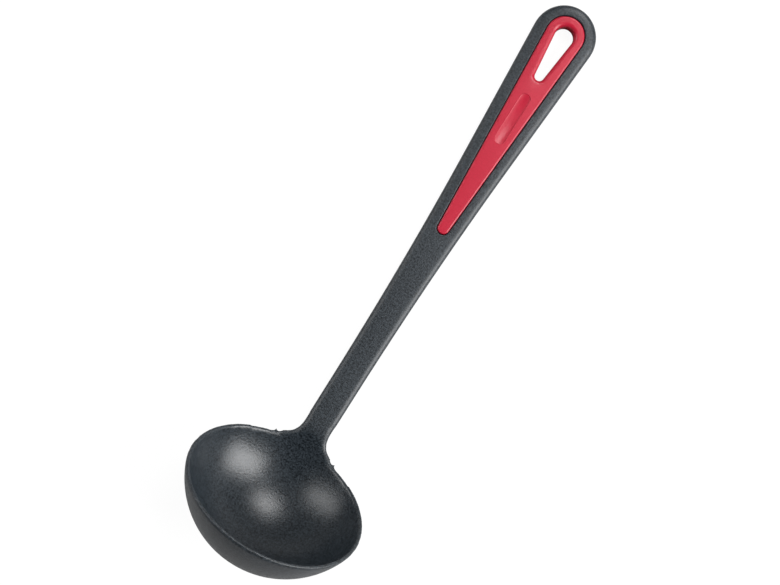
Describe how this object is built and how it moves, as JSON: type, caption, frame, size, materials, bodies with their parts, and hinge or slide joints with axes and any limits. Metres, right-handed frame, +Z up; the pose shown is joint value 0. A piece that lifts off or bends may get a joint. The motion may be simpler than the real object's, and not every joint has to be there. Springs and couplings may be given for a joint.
{
  "type": "soup ladle",
  "caption": "Kitchen soup ladle with a round bowl, a tapering moulded handle, a coloured handle insert and a teardrop hanging hole lined by the insert.",
  "frame": {"origin": "on the table, in the middle of the box round the ladle as it lies on its bowl and the back of its handle", "axes": "+Z up from the table, +Y along the handle towards its end, +X to the right; symmetric about X = 0"},
  "size_m": [0.09, 0.312, 0.0762],
  "materials": {
    "body_nylon": "fine spark-eroded grain, matte",
    "insert_plastic": "smooth satin"
  },
  "bodies": {
    "root": {"ladle_body": "body_nylon", "handle_inlay": "insert_plastic"}
  },
  "joints": []
}
